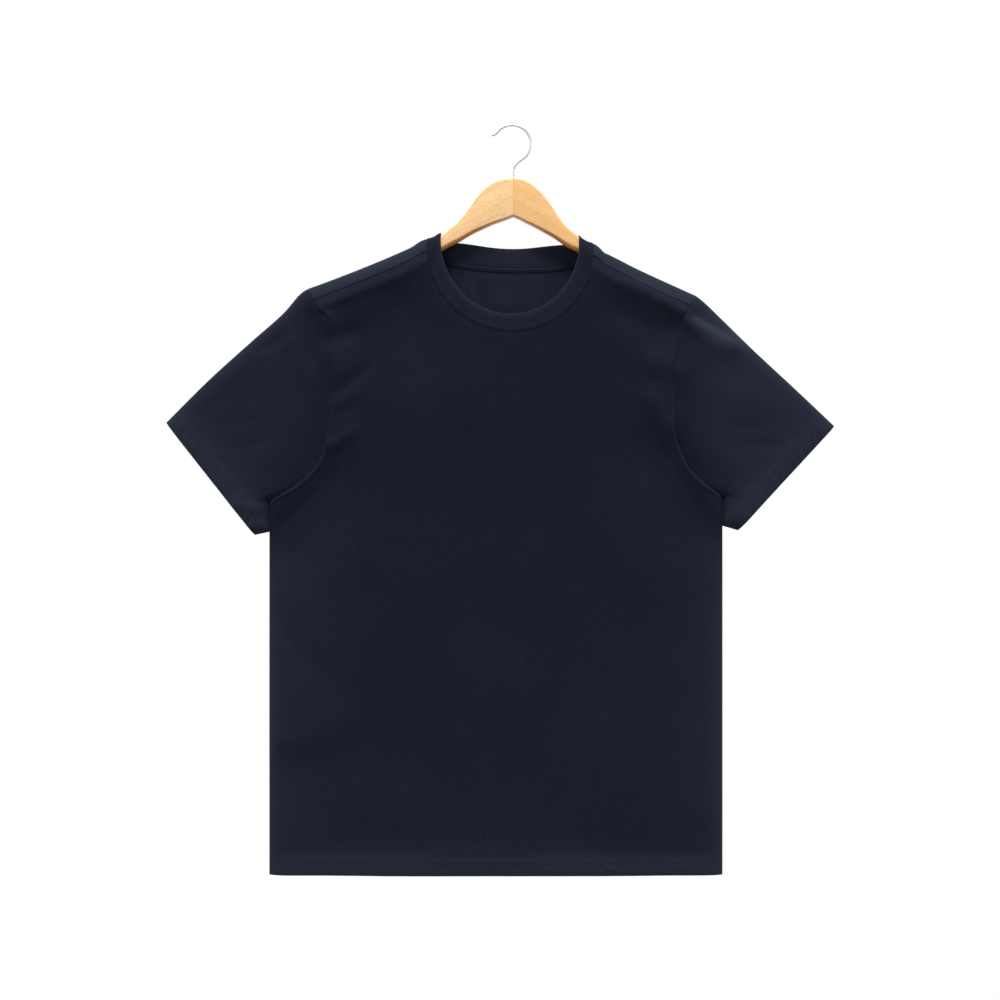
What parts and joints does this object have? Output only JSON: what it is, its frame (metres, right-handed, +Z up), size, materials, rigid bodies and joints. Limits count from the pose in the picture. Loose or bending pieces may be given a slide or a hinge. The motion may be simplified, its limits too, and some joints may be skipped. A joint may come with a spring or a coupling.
{
  "type": "crew neck t-shirt on a hanger",
  "caption": "Navy short-sleeved crew neck t-shirt in plain cotton jersey, hung flat on a pale wooden hanger with a bent wire hook.",
  "frame": {"origin": "highest point inside the hook's loop, where the rail lies", "axes": "+Z up, +Y from the front of the garment to its back, +X to the right as seen from the front"},
  "size_m": [0.7676, 0.0275, 0.8626],
  "materials": {
    "jersey": "matte",
    "rib": "matte",
    "tape": "matte",
    "wood": "satin",
    "wire": "polished"
  },
  "bodies": {
    "root": {"front": "jersey", "back": "jersey", "sleeve_left": "jersey", "sleeve_right": "jersey", "neckband": "rib", "neck_tape": "tape", "hanger_left": "wood", "hanger_right": "wood", "hook": "wire"}
  },
  "joints": []
}
